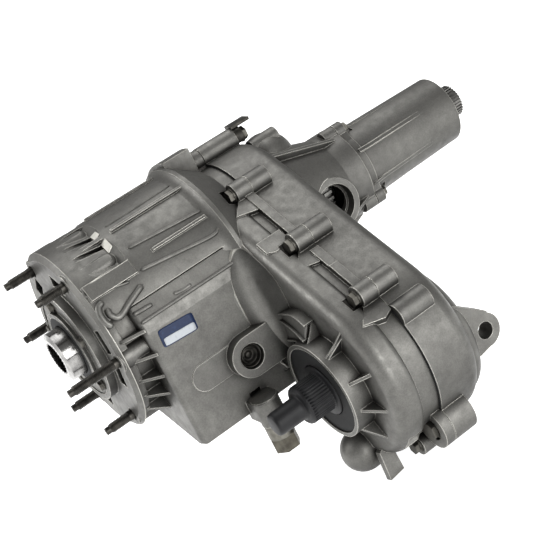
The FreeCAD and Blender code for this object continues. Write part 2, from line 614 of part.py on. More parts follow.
# Input side
retainer = turned("retainer_plate", [
    ("-retainT - 4", "sealR"), ("-3", "sealR"), ("-3", "tubeR + 4"), (0, "tubeR + 4"), (0, "retainR"),
    ("-retainT", "retainR"), ("-retainT", "sealR + 4.5"), ("-retainT - 4", "sealR + 4.5")])
retainPlaces = [polar("retainR - 6.2", turn) for turn in range(18, 378, 72)]
node(cut("input_retainer", retainer, *[
    rod("retain_drill%d" % k, 3.3, "retainT + 4", "-retainT - 2", y, z)
    for k, (y, z) in enumerate(retainPlaces)]))
node(screws("retainer_bolts", retainPlaces, "-retainT", 3, 22, 5, 5, -1))
node(turned("input_seal", [
    ("-retainT - 4", "sealR"), ("-retainT - 4", "tubeR + 1"), ("-retainT - 2.5", "tubeR + 0.1"),
    ("-retainT - 1.5", "tubeR + 0.1"), ("-retainT - 1.5", "sealR - 2"), ("-retainT + 3", "sealR - 2"),
    ("-retainT + 3", "sealR")]))
bearing("input_bearing", "seatR", "inBearR", "inBearT", "inBearX")
node(ring("input_snap_ring", "inBearR - 0.1", "inBearR - 4", 1.8, "inBearX + inBearT + 0.3"))
inputBlank = turned("input_blank", [
    ("-tubeOut", "splineR + 3"), ("-tubeOut + 2", "tubeR"), (2, "tubeR"), (2, "seatR"),
    ("inBearX + inBearT + 2", "seatR"), ("inBearX + inBearT + 2", 27), ("planetX - 16", 27),
    ("planetX - 16", "drumR"), ("planetX - 11", "drumR"), ("planetX - 11", "mainR"),
    (22, "mainR"), (22, "splineR + 1.5"), (14, "splineR + 1.5"), (14, "splineR - 1.5"),
    ("-tubeOut", "splineR - 1.5")])
gaps = toothed("input_gaps", "splineR + 0.4", "splineR - 2", "splineR", 27, 1.9, 1.9,
               "tubeOut + 16", "-tubeOut - 1", inside=True)
tools = cut("input_teeth", rod("input_plug", "splineR", "tubeOut + 15", "-tubeOut - 1"), gaps)
node(cut("input_shaft", inputBlank, tools))

# Planetary differential
midX = "planetX"
carrierBlank = turned("carrier_blank", [
    ("planetX - 11", "drumR - drumT"), ("planetX + planetT + 6", "drumR - drumT"),
    ("planetX + planetT + 6", "sleeveR + 10"), ("planetX + planetT + 12", "sleeveR + 10"),
    ("planetX + planetT + 12", "drumR"), ("planetX - 11", "drumR")])
pinPlaces = [polar("sunP + pinionP", turn) for turn in (0, 120, 240)]
node(cut("carrier_drum", carrierBlank, *[
    rod("pin_seat%d" % k, 5, 16, "planetX + planetT + 2", y, z)
    for k, (y, z) in enumerate(pinPlaces)]))
node(join("pinion_pins", *[rod("pin%d" % k, 5, "planetT + 14", "planetX - 2", y, z)
                           for k, (y, z) in enumerate(pinPlaces)]))
pinionItems = []
for number, (y, z) in enumerate(pinPlaces):
    wheel = toothed("pinion_wheel%d" % number, "pinionP + 1.8", "pinionP + 1.8", "pinionP - 2.4", 15,
                    "gearGap + 1.3", "gearGap - 1.7", "planetT", midX, y, z, turn=number * 120 + 90)
    bore = rod("pinion_bore%d" % number, 5.2, "planetT + 2", "planetX - 1", y, z)
    pinionItems.append(cut("pinion%d" % number, wheel, bore))
node(join("planet_pinions", *pinionItems))
sunWheel = toothed("sun_wheel", "sunP + 1.8", "sunP + 1.8", "sunP - 2.4", 30,
                   "gearGap + 1.3", "gearGap - 1.7", "planetT", midX, turn=-84)
sunBody = join("sun_body", sunWheel, rod("sleeve", "sleeveR", "sprocketX + sprocketT + 6 - planetX", midX))
node(cut("sun_gear", sunBody, rod("sleeve_bore", "sleeveBore", 220, "planetX - 10")))
annulusRing = toothed("annulus_ring", "drumR - drumT - 1.5", "sunP + 2 * pinionP - 1.8",
                      "sunP + 2 * pinionP + 2.4", 60, "gearGap + 1.3", "gearGap - 1.7",
                      "planetT + 2", "planetX - 1", turn=-90, inside=True)
annulusWeb = ring("annulus_web", "drumR - drumT - 1.5", "mainR", 4, "planetX - 8")
annulusRim = ring("annulus_rim", "drumR - drumT - 1.5", "sunP + 2 * pinionP + 3", 4, "planetX - 5")
node(join("annulus_gear", annulusRing, annulusWeb, annulusRim))
node(turned("viscous_coupling", [
    ("coupleX", "sleeveR"), ("coupleX + coupleT", "sleeveR"), ("coupleX + coupleT", "coupleR - 6"),
    ("coupleX + coupleT - 3", "coupleR - 6"), ("coupleX + coupleT - 5", "coupleR"),
    ("coupleX + 5", "coupleR"), ("coupleX + 3", "coupleR - 6"), ("coupleX", "coupleR - 6")]))

# Main shaft to the rear output
mainBlank = turned("main_blank", [
    (25, 0), (25, "mainR - 3"), ("planetX - 12", "mainR - 3"), ("planetX - 12", "mainR"),
    ("rearBearX - 18", "mainR"), ("rearBearX - 18", "rearSeatR + 3"), ("rearBearX", "rearSeatR + 3"),
    ("rearBearX", "rearSeatR"), ("pumpX + pumpT + 4", "rearSeatR"), ("pumpX + pumpT + 4", "tailSpline"),
    ("bushX + bushT + 6", "tailSpline"), ("bushX + bushT + 6", "tailSpline - 2"),
    ("shaftEnd - 2", "tailSpline - 2"), ("shaftEnd", "tailSpline - 4"), ("shaftEnd", 0)])
tailTeeth = toothed("tail_teeth", "tailSpline", "tailSpline", "tailSpline - 1.4", 32, 1.9, 1.5,
                    "shaftEnd - 2 - bushX - bushT - 6", "bushX + bushT + 6")
node(join("rear_output_shaft", mainBlank, tailTeeth))
node(ring("pilot_bushing", "mainR - 0.05", "mainR - 2.9", 16, 26))

# Chain drive
for name, y, z, bore in (("drive_sprocket", 0, 0, "sleeveR"),
                         ("driven_sprocket", outY, outZ, "outShaftR + 2.5")):
    wheel = toothed(name + "_wheel", "toothTip", "toothTip", "toothRoot", 36, 6.2, 3.2,
                    "sprocketT", "sprocketX", y, z)
    hub = rod(name + "_hub", 31, "sprocketT + 10", "sprocketX - 6", y, z)
    relief = ring(name + "_relief", "toothRoot - 5", 31.5, 7, "sprocketX - 1", y, z)
    solid = cut(name + "_solid", join(name + "_all", cut(name + "_face", wheel, relief), hub),
                rod(name + "_bore", bore, 60, "sprocketX - 16", y, z))
    solid.Label = name + "_plain"
    lightening = [rod("%s_hole%d" % (name, k), 6, 60, "sprocketX - 16",
                      "(%s) + 40 * cos(%d)" % (y, k * 60), "(%s) + 40 * sin(%d)" % (z, k * 60))
                  for k in range(6)]
    node(cut(name, solid, *lightening))
loop = cut("chain_loop", beltBody("chain_out", "chainOut", "chainOut", "chainT", "sprocketX + 1.5"),
           beltBody("chain_in", "chainIn", "chainIn", "chainT + 4", "sprocketX - 1"))
grooves = []
rows = 14
for number in range(rows):
    for side in (-1, 1):
        run = "chainL * %d / %d" % (2 * number + 1, 2 * rows)
        y, z = along(run, "%d * (chainOut - 0.2)" % side)
        item = doc.addObject("Part::Box", "groove_line%d_%d" % (number, side + 1))
        bind(item, Length="chainT + 4", Width=1.6, Height=4)
        spin = Turn(V(1, 0, 0), sizes["chainTurn"])
        shift = spin.multVec(V(0, -0.8, -2))
        grooves.append(locate(item, "sprocketX - 1", "%s + %s" % (y, shift.y),
                              "%s + %s" % (z, shift.z), spin))
for base, (y, z) in ((sizes["chainTurn"], (0, 0)), (sizes["chainTurn"] + 180, (outY, outZ))):
    for number in range(15):
        angle = base - 84 + number * 12
        spin = Turn(V(1, 0, 0), angle)
        shift = spin.multVec(V(0, -2, -0.8))
        py, pz = polar("chainOut - 0.2", angle)
        item = doc.addObject("Part::Box", "groove_arc%d_%d" % (number, int(base)))
        bind(item, Length="chainT + 4", Width=4, Height=1.6)
        grooves.append(locate(item, "sprocketX - 1", "(%s) + %s + %s" % (y, py, shift.y),
                              "(%s) + %s + %s" % (z, pz, shift.z), spin))
node(cut("drive_chain", loop, *grooves))

# Front output
outBlank = turned("output_blank", [
    ("outSealX + 3", "plugBore"), ("outSealX + 3", "outSealR"), ("outBearX", "outSealR"),
    ("outBearX", "outShaftR"), ("outBearX + outBearT", "outShaftR"), ("outBearX + outBearT", "outShaftR + 5"),
    ("sprocketX - 6.3", "outShaftR + 5"), ("sprocketX - 6.3", "outShaftR + 2.5"),
    ("sprocketX + sprocketT + 4", "outShaftR + 2.5"), ("sprocketX + sprocketT + 4", "endShaftR + 3"),
    ("endBearX", "endShaftR + 3"), ("endBearX", "endShaftR"), ("endBearX + endBearT", "endShaftR"),
    ("endBearX + endBearT", 0), ("outBearX + 40", 0), ("outBearX + 40", "plugBore")], outY, outZ)
outGaps = toothed("output_gaps", "plugBore + 1.5", "plugBore - 1", "plugBore + 1.2", 24, 1.6, 1.6, 30,
                  "outSealX + 2", outY, outZ, inside=True)
outTeeth = cut("output_teeth", rod("output_plug", "plugBore + 1.2", 30, "outSealX + 2", outY, outZ), outGaps)
node(cut("front_output_shaft", outBlank, outTeeth))
node(turned("output_seal", [
    ("outSealX + 2", "mouthBore"), ("outSealX + 1", "mouthBore"), ("outSealX + 1", "mouthR - 4.3"),
    ("outSealX - 0.5", "mouthR - 4.3"), ("outSealX - 0.5", "mouthBore"), ("outSealX", "outSealR + 2"),
    ("outSealX + 4", "outSealR + 0.1"), ("outSealX + 5", "outSealR + 0.1"), ("outSealX + 5", "mouthBore - 2"),
    ("outSealX + outSealT - 0.7", "mouthBore - 2"),
    ("outSealX + outSealT - 0.7", "mouthBore")], outY, outZ))
bearing("output_front_bearing", "outShaftR", "outBearR", "outBearT", "outBearX", outY, outZ)
bearing("output_rear_bearing", "endShaftR", "endBearR", "endBearT", "endBearX", outY, outZ)
plugGrip = toothed("plug_grip", "plugR", "plugR", "plugR - 0.7", 40, 1.6, 1.2,
                   "outSealX + 2 - plugStep", "plugStep", outY, outZ)
node(join("shipping_plug", plugGrip,
          rod("plug_tip", "plugTip", "plugStep - plugX", "plugX", outY, outZ),
          rod("plug_shank", "plugBore - 0.4", 22, "outSealX + 1", outY, outZ)))

# Rear bearing, tone wheel and oil pump
bearing("rear_bearing", "rearSeatR", "rearBearR", "rearBearT", "rearBearX")
node(ring("rear_snap_ring", "rearBearR - 0.1", "rearBearR - 4", 2, "rearBearX + rearBearT + 0.3"))
tone = toothed("tone_rim", "toneR", "toneR", "toneR - 4", 30, 3.6, 3, "toneT", "toneX")
node(cut("tone_wheel", tone, rod("tone_bore", "rearSeatR", 20, "toneX - 4")))
pumpShell = ring("pump_shell", "neckBore - 0.2", "rearSeatR + 3", "pumpT", "pumpX")
pumpRoom = ring("pump_room", "rearSeatR + 12", "rearSeatR + 2", "pumpT - 8", "pumpX + 4")
node(cut("oil_pump_housing", pumpShell, pumpRoom))
pumpWheel = toothed("pump_wheel", "rearSeatR + 9", "rearSeatR + 9", "rearSeatR + 4", 7, 9, 5,
                    "pumpT - 9", "pumpX + 4.5")
node(cut("oil_pump_rotor", pumpWheel, rod("pump_bore", "rearSeatR", 30, "pumpX - 4")))

# Tail fittings
node(ring("tail_bushing", "tailSpline + 5", "tailSpline + 0.05", "bushT", "bushX"))
node(turned("tail_seal", [
    ("tailEnd - 7.7", "tailSpline + 1.2"), ("tailEnd - 7.7", 28), ("tailEnd", 28), ("tailEnd", 31),
    ("tailEnd + 1", 31), ("tailEnd + 1", "tailSpline + 4"), ("tailEnd - 2", "tailSpline + 1.2")]))

# Fasteners and plugs
node(screws("case_bolts", seamBolts, "seamX - 16", "boltR", 34, "boltHead", 6, -1))
node(screws("heavy_bolt", [heavyBolt], "seamX - heavyFront + 4", 6, 28, 10, 8, -1))
node(screws("tail_bolts", ears, "tailX + 1 + tailFlange", "earBolt", 22, 5.2, 5, 1))
bracketPlate = join("bracket_plate", rod("bracket_eye", 11, 8, "seamX + 41", *topBolt),
                    block("bracket_tab", 22, 14, 3, "seamX + 41", "topY - 7", "caseR + topUp + 10"))
node(cut("top_bracket", bracketPlate, rod("bracket_drill", 4.3, 14, "seamX + 39", *topBolt),
         block("bracket_flat", 14, 40, 20, "seamX + 39", "topY - 20", "caseR - 19.5")))
node(screws("bracket_bolt", [topBolt], "seamX + 49", 4, 24, 7, 6, 1))
fitting = join("drain_fitting_body",
               rod("fitting_collar", "drainR - 0.5", 15, "drainX", "-drainY", "-sumpZ - 13", "-Z"),
               rod("fitting_stem", 8, 12, "drainX", "-drainY", "-sumpZ - 13", "Z"))
node(cut("drain_fitting", fitting, rod("fitting_bore", 5, 40, "drainX", "-drainY", "-sumpZ - 30", "Z")))
drainHex = doc.addObject("Part::Prism", "drain_hex")
drainHex.Polygon = 6
bind(drainHex, Circumradius="drainR", Height=14)
locate(drainHex, "drainX", "-drainY", "-sumpZ - 28", directions["-Z"])
node(join("drain_plug", drainHex, rod("drain_stem", 5, 14, "drainX", "-drainY", "-sumpZ - 28", "Z")))
fillSolid = rod("fill_disc", "fillR", 9, "fillX", "-sumpY - fillOut + 13", "-fillZ", "-Y")
fillHex = doc.addObject("Part::Prism", "fill_hex")
fillHex.Polygon = 4
bind(fillHex, Circumradius=7, Height=6)
locate(fillHex, "fillX", "-sumpY - fillOut + 9", "-fillZ", directions["-Y"])
node(cut("fill_plug", fillSolid, fillHex))
node(rod("sump_magnet", 11, 5, "sumpX + 40", -72, "-sumpZ + 16", "Z"))

doc.recompute()

# Every piece is checked and written in place
os.makedirs("parts", exist_ok=True)
bad = [item.Label for item in doc.Objects if "Invalid" in item.State or "Error" in item.State]
for item in nodes:
    if item.Shape.isNull() or not item.Shape.isValid() or item.Shape.Volume < 1:
        bad.append(item.Label)
if bad:
    raise SystemExit("faulty: " + ", ".join(bad))
for item in nodes:
    item.Shape.exportStep("parts/%s.step" % item.Label)
print(len(nodes), "pieces written")
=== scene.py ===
import math

import bpy
import numpy as np
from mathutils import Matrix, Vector


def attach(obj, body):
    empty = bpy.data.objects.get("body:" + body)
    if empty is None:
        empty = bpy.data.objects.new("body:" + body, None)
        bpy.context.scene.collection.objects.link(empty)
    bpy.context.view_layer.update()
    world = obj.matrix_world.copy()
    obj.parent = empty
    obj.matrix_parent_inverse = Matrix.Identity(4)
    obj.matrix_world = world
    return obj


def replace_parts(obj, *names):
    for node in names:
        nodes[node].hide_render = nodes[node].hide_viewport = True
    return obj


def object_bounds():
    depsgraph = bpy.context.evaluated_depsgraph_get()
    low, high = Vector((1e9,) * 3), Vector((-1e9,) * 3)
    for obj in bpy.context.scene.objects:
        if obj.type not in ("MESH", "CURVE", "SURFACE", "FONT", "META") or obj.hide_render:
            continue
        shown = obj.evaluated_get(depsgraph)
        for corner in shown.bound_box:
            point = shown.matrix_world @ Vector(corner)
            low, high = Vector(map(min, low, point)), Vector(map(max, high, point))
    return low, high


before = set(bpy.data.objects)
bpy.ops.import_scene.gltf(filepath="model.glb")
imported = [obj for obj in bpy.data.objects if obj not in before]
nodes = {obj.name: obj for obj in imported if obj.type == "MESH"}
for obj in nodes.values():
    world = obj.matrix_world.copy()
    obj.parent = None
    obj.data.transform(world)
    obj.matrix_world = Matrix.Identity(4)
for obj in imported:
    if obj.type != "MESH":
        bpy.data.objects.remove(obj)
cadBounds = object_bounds()
print("frame loaded:", len(nodes), "nodes")

# Metres throughout.  X runs rearward along the main shaft from the front mounting
# face, Y away from the front output, Z up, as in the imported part.


# An sRGB hex colour as linear red, green, blue and alpha: c / 12.92 when dark,
# otherwise ((c + 0.055) / 1.055) ^ 2.4.
def linearColor(hexCode):
    channels = np.array([int(hexCode[k:k + 2], 16) for k in (1, 3, 5)]) / 255
    linear = np.where(channels <= 0.04045, channels / 12.92, ((channels + 0.055) / 1.055) ** 2.4)
    return (*linear.tolist(), 1.0)


# Adds a node; inputs maps a socket to a value or to the socket that feeds it
def addNode(tree, kind, inputs=None, **settings):
    node = tree.nodes.new(kind)
    for key, value in settings.items():
        setattr(node, key, value)
    for key, value in (inputs or {}).items():
        if isinstance(value, bpy.types.NodeSocket):
            tree.links.new(value, node.inputs[key])
        else:
            node.inputs[key].default_value = value
    return node


# Empty material, its node tree, its shader and the object coordinates in metres
def newMaterial(name):
    material = bpy.data.materials.new(name)
    material.use_nodes = True
    tree = material.node_tree
    shader = tree.nodes["Principled BSDF"]
    place = addNode(tree, "ShaderNodeTexCoord").outputs["Object"]
    return material, tree, shader, place


# Noise with blobs of about sizeMm: its scale per metre is 1000 / sizeMm
def noiseOf(tree, place, sizeMm, detail, roughness=0.5):
    inputs = {"Vector": place, "Scale": 1000 / sizeMm, "Detail": detail, "Roughness": roughness}
    return addNode(tree, "ShaderNodeTexNoise", inputs).outputs["Fac"]


# Socket carried in a straight line from one range to another and held at the ends
def remap(tree, value, fromMin, fromMax, toMin=0.0, toMax=1.0):
    inputs = {"Value": value, "From Min": fromMin, "From Max": fromMax, "To Min": toMin, "To Max": toMax}
    return addNode(tree, "ShaderNodeMapRange", inputs).outputs[0]


# Two tones mixed by a socket between two limits: toneA + share (toneB - toneA)
def blendTones(tree, factor, low, high, toneA, toneB):
    share = remap(tree, factor, low, high)
    mix = addNode(tree, "ShaderNodeMix", {0: share, 6: toneA, 7: toneB}, data_type="RGBA")
    return mix.outputs[2]


# A tone times a grey factor
def shadeTone(tree, tone, factor):
    mix = addNode(tree, "ShaderNodeMix", {0: 1.0, 6: tone, 7: factor},
                  data_type="RGBA", blend_type="MULTIPLY")
    return mix.outputs[2]


# Normal as if the edges were rounded off at this radius
def roundedNormal(tree, radiusMm, samples):
    return addNode(tree, "ShaderNodeBevel", {"Radius": radiusMm / 1000}, samples=samples).outputs["Normal"]


# Shader's normal: the rounded one tipped by the slope of a height
def addBump(tree, shader, height, rounded, strength, reachMm):
    inputs = {"Height": height, "Normal": rounded, "Strength": strength, "Distance": reachMm / 1000}
    tree.links.new(addNode(tree, "ShaderNodeBump", inputs).outputs[0], shader.inputs["Normal"])


# Die-cast aluminium, shot-blasted and handled: a dull satin metal with a fine
# grain, cloudy flow patches, recesses darkened by grime and painted shade, and rims lightened by wear and a
# painted highlight.
dieCast = {
    "dark": "#676663", "light": "#7b7a76", "grime": "#2f2d2a", "rim": "#dad8d0",
    "patchMm": 62, "stainMm": 8, "grainMm": 1.3,  # grit is nearer 0.4 mm, drawn coarser to show
    "rimMm": 1.4, "recessMm": 15, "roughLow": 0.42, "roughHigh": 0.56, "bumpMm": 0.25, "downwardDim": 0.5,
    "metallic": 0.85,
}


# Colour: a cloudy blend of two tones, times dust, times speck, then lightened at the rims by wear
# and a painted highlight, darkened in the recesses by grime and painted shade, and dimmer on the undersides
def dieCastAluminium(name, look, lift=0.0):
    material, tree, shader, place = newMaterial(name)
    patch = noiseOf(tree, place, look["patchMm"], 4.0, 0.6)
    stain = noiseOf(tree, place, look["stainMm"], 3.0, 0.55)
    grain = noiseOf(tree, place, look["grainMm"], 2.0, 0.6)
    base = blendTones(tree, patch, 0.35 - lift, 0.68 - lift,
                      linearColor(look["dark"]), linearColor(look["light"]))
    dust = remap(tree, stain, 0.3, 0.75, 0.93, 1.05)
    speck = remap(tree, grain, 0.3, 0.7, 0.87, 1.12)
    shade = addNode(tree, "ShaderNodeMath", {0: dust, 1: speck}, operation="MULTIPLY").outputs[0]
    tinted = shadeTone(tree, base, shade)
    # rims: where the rounded normal leaves the flat one, lightened for wear and as a painted highlight
    rounded = roundedNormal(tree, look["rimMm"], 6)
    flat = addNode(tree, "ShaderNodeNewGeometry").outputs["Normal"]
    turn = addNode(tree, "ShaderNodeVectorMath", {0: rounded, 1: flat}, operation="DOT_PRODUCT")
    rubbedAndHighlighted = blendTones(tree, turn.outputs["Value"], 0.97, 0.86, tinted, linearColor(look["rim"]))
    # recesses: ambient occlusion blends toward a dark tone, for grime and as painted shade
    recess = addNode(tree, "ShaderNodeAmbientOcclusion", {"Distance": look["recessMm"] / 1000}, samples=6)
    lit = blendTones(tree, recess.outputs["AO"], 0.25, 0.9, linearColor(look["grime"]), rubbedAndHighlighted)
    # darker on faces that turn downward
    facing = addNode(tree, "ShaderNodeSeparateXYZ", {"Vector": flat}).outputs["Z"]
    downwardDim = remap(tree, facing, -0.7, 0.3, look["downwardDim"], 1.0)
    tree.links.new(shadeTone(tree, lit, downwardDim), shader.inputs["Base Color"])
    rough = remap(tree, stain, 0.3, 0.7, look["roughHigh"], look["roughLow"])
    tree.links.new(rough, shader.inputs["Roughness"])
    addBump(tree, shader, grain, rounded, 0.35, look["bumpMm"])
    shader.inputs["Metallic"].default_value = look["metallic"]
    return material


# Steel turned or ground on a lathe: bright, or dark where it is oxidised or phosphated
steel = {"ringMm": 0.9, "cloudMm": 7, "edgeMm": 0.5, "bumpMm": 0.1}


# Colour: a cloudy blend of two tones.  Roughness and bump follow rings round the main axis,
# which are noise drawn out twenty times across X.
def turnedSteel(name, dark, light, roughLow, roughHigh, metallic=1.0):
    material, tree, shader, place = newMaterial(name)
    spread = addNode(tree, "ShaderNodeMapping", {"Vector": place, "Scale": (1.0, 0.05, 0.05)}).outputs[0]
    ring = noiseOf(tree, spread, steel["ringMm"], 2.0)
    cloud = noiseOf(tree, place, steel["cloudMm"], 3.0)
    tone = blendTones(tree, cloud, 0.3, 0.7, linearColor(dark), linearColor(light))
    tree.links.new(tone, shader.inputs["Base Color"])
    tree.links.new(remap(tree, ring, 0.3, 0.7, roughLow, roughHigh), shader.inputs["Roughness"])
    addBump(tree, shader, ring, roundedNormal(tree, steel["edgeMm"], 4), 0.15, steel["bumpMm"])
    shader.inputs["Metallic"].default_value = metallic
    return material


# Moulded rubber or plastic: dark, slightly mottled, with soft sheen
polymer = {"cloudMm": 11, "edgeMm": 0.5, "bumpMm": 0.2, "specular": 0.28}


# Colour: a cloudy blend of two tones, with a bump from finer noise
def mouldedPolymer(name, dark, light, rough, grainMm=1.2):
    material, tree, shader, place = newMaterial(name)
    grain = noiseOf(tree, place, grainMm, 2.0)
    cloud = noiseOf(tree, place, polymer["cloudMm"], 3.0)
    tone = blendTones(tree, cloud, 0.3, 0.7, linearColor(dark), linearColor(light))
    tree.links.new(tone, shader.inputs["Base Color"])
    addBump(tree, shader, grain, roundedNormal(tree, polymer["edgeMm"], 4), 0.2, polymer["bumpMm"])
    shader.inputs["Roughness"].default_value = rough
    shader.inputs["Specular IOR Level"].default_value = polymer["specular"]
    return material


# Printed vinyl label: smooth ink with faint scuffs, more scuff where a fine noise is high
def printedVinyl(name, ink, scuff):
    material, tree, shader, place = newMaterial(name)
    wear = noiseOf(tree, place, 3, 4.0)
    tone = blendTones(tree, wear, 0.55, 0.85, linearColor(ink), linearColor(scuff))
    tree.links.new(tone, shader.inputs["Base Color"])
    shader.inputs["Roughness"].default_value = 0.6
    return material


finishes = {
    "frontCasting": dieCastAluminium("die-cast aluminium front", dieCast),
    "rearCasting": dieCastAluminium("die-cast aluminium rear", dieCast, lift=-0.03),
    "tailCasting": dieCastAluminium("die-cast aluminium tail", dieCast, lift=-0.06),
    "brightSteel": turnedSteel("ground bearing steel", "#7c7b7a", "#a3a2a0", 0.14, 0.26),
    "gearSteel": turnedSteel("case-hardened gear steel", "#5c5b59", "#7e7d7a", 0.28, 0.45),
    "chainSteel": turnedSteel("oiled chain steel", "#3d3a36", "#5a5651", 0.3, 0.45),
    "blackSteel": turnedSteel("black-oxide stud steel", "#2b2a28", "#4c4a46", 0.34, 0.5),
    "boltSteel": turnedSteel("phosphated bolt steel", "#4a4844", "#6b6963", 0.38, 0.55),
    "plugSteel": turnedSteel("phosphated plug steel", "#2a2927", "#43413d", 0.4, 0.55),
    "fittingSteel": turnedSteel("dull plated steel", "#55534d", "#77756e", 0.35, 0.5),
    "zincSteel": turnedSteel("zinc-plated plug steel", "#45423c", "#625f56", 0.38, 0.52),
    "bronze": turnedSteel("sintered bronze", "#7d6138", "#a2834f", 0.35, 0.5),
    "sealRubber": mouldedPolymer("nitrile seal rubber", "#0a0a0b", "#141415", 0.68),
    "sealant": mouldedPolymer("cured silicone bead", "#1a1a1b", "#2c2c2c", 0.55),
    "gasketFibre": mouldedPolymer("pressed gasket fibre", "#1d1c1a", "#302e2b", 0.8, 0.7),
    "plugPlastic": mouldedPolymer("moulded polyethylene plug", "#0b0b0d", "#151517", 0.5),
    # light tone: partly a cut finish, partly a painted highlight
    "cutAluminiumAndHighlight": turnedSteel("cut aluminium with painted highlight", "#cfcdc5", "#e4e2da", 0.38, 0.5, metallic=0.5),
    "magnet": mouldedPolymer("sintered ferrite", "#222224", "#36363a", 0.6),
    "labelInk": printedVinyl("blue printed vinyl", "#071d40", "#153258"),
    "labelField": printedVinyl("white printed vinyl", "#aeb3b8", "#92979c"),
}
print("finishes made:", len(finishes))

nodeFinish = {
    "front_case": "frontCasting", "rear_case": "rearCasting", "tail_housing": "tailCasting",
    "oil_pump_housing": "rearCasting", "input_retainer": "frontCasting", "case_gasket": "sealant",
    "tail_gasket": "gasketFibre", "retainer_bolts": "boltSteel", "case_bolts": "boltSteel",
    "heavy_bolt": "boltSteel", "tail_bolts": "boltSteel", "bracket_bolt": "boltSteel",
    "top_bracket": "blackSteel", "input_shaft": "brightSteel", "input_seal": "sealRubber",
    "output_seal": "sealRubber", "tail_seal": "sealRubber", "drive_chain": "chainSteel",
    "drain_fitting": "fittingSteel", "drain_plug": "zincSteel", "fill_plug": "plugSteel",
    "shipping_plug": "plugPlastic", "pilot_bushing": "bronze", "tail_bushing": "bronze",
    "sump_magnet": "magnet", "transmission_studs": "blackSteel", "front_output_shaft": "chainSteel",
}
for name, node in nodes.items():
    finish = nodeFinish.get(name)
    if finish is None:
        finish = "brightSteel" if "bearing" in name or "snap" in name else "gearSteel"
    node.data.materials.clear()
    node.data.materials.append(finishes[finish])
print("nodes dressed")


# Faces of a grid whose first point has the number start: quads, wrapped round the columns where
# it is a tube, and a cap over the first or the last ring of a tube
def gridFaces(rows, columns, tube, caps, start=0):
    a, b = np.meshgrid(np.arange(rows - 1), np.arange(columns if tube else columns - 1), indexing="ij")
    nextB = (b + 1) % columns
    corners = (a * columns + b, (a + 1) * columns + b, (a + 1) * columns + nextB, a * columns + nextB)
    quads = start + np.stack(corners, -1)
    ring = np.arange(columns)
    ends = (start + ring, start + rows * columns - 1 - ring)
    return quads.reshape(-1, 4).tolist() + [end.tolist() for end, cap in zip(ends, caps) if cap]


# Grid of points (rows, columns, 3) as a mesh that rides on a body
def gridPiece(name, points, body, finish, tube=False, caps=(False, False)):
    faces = gridFaces(*points.shape[:2], tube, caps)
    return meshPiece(name, points.reshape(-1, 3), faces, body, finish)


# Closed form: rings of points with both ends capped
def closedPiece(name, points, body, finish):
    return gridPiece(name, points, body, finish, True, (True, True))


# Points and faces as a smooth mesh in one finish, on a body
def meshPiece(name, points, faces, body, finish):
    mesh = bpy.data.meshes.new(name)
    mesh.from_pydata(points.tolist(), [], faces)
    mesh.polygons.foreach_set("use_smooth", np.ones(len(mesh.polygons), bool))
    mesh.validate()
    mesh.materials.append(finishes[finish])
    piece = bpy.data.objects.new(name, mesh)
    bpy.context.scene.collection.objects.link(piece)
    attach(piece, body)
    return piece


# Gives a sheet its thickness, half of it to each side
def thicken(sheet, thickness):
    solid = sheet.modifiers.new("thickness", "SOLIDIFY")
    solid.thickness = thickness
    solid.offset = 0.0


# Sections of a piece with one more at each end, drawn in: middle + share (p - middle)
def drawnIn(section, share):
    middle = section.mean(1, keepdims=True)
    return np.concatenate([middle[:1] + share * (section[:1] - middle[:1]), section,
                           middle[-1:] + share * (section[-1:] - middle[-1:])])


# Rounded rectangle of half size 1 at turn t: sgn(cos t) |cos t|^power, sgn(sin t) |sin t|^power
def roundedOutline(steps, power):
    t = np.linspace(0, 2 * math.pi, steps, endpoint=False)
    return [np.sign(wave) * np.abs(wave) ** power for wave in (np.cos(t), np.sin(t))]


# Threaded studs of the transmission joint
studs = {"ring": 0.081, "firstTurn": 64.5, "count": 6, "outer": 0.005, "depth": 0.0009, "pitch": 0.0015,
         "reach": 0.030, "longReach": 0.0515, "longOne": 2, "nose": 0.006, "noseRadius": 0.0036,
         "plain": 0.004, "fade": 0.001, "shoulder": 0.0012, "tipRadius": 0.0002, "root": 0.012,
         "stepsRound": 24, "stepsPerTurn": 5}


# Radius over turn t and place x: r = outer - depth (1 + cos(2 pi x / pitch - t)) / 2, plain near
# the casting and drawn down to the nose
def threadedStud(turn, reach):
    steps = int((reach + studs["root"]) / studs["pitch"] * studs["stepsPerTurn"])
    x = np.linspace(studs["root"], -reach, steps)
    t = np.linspace(0, 2 * math.pi, studs["stepsRound"], endpoint=False)
    along, around = np.meshgrid(x, t, indexing="ij")
    wave = (1 + np.cos(2 * math.pi * along / studs["pitch"] - around)) / 2
    threaded = np.clip((-along - studs["plain"]) / studs["fade"], 0, 1)
    radius = studs["outer"] - studs["depth"] * wave * threaded
    toNose = np.clip((-along - (reach - studs["nose"])) / studs["shoulder"], 0, 1)
    radius = radius + (studs["noseRadius"] - radius) * toNose
    radius[-1] = studs["tipRadius"]
    centre = studs["ring"] * np.array([math.cos(turn), math.sin(turn)])
    return np.stack([along, centre[0] + radius * np.cos(around), centre[1] + radius * np.sin(around)], -1)


grids = []
for number in range(studs["count"]):
    reach = studs["longReach"] if number == studs["longOne"] else studs["reach"]
    grids.append(threadedStud(math.radians(studs["firstTurn"] + number * 360 / studs["count"]), reach))
points, faces, start = [], [], 0
for grid in grids:
    faces += gridFaces(*grid.shape[:2], True, (True, True), start)
    points.append(grid.reshape(-1, 3))
    start += len(points[-1])
threads = meshPiece("threaded_studs", np.concatenate(points), faces, "case", "blackSteel")
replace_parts(threads, "transmission_studs")
print("studs threaded")


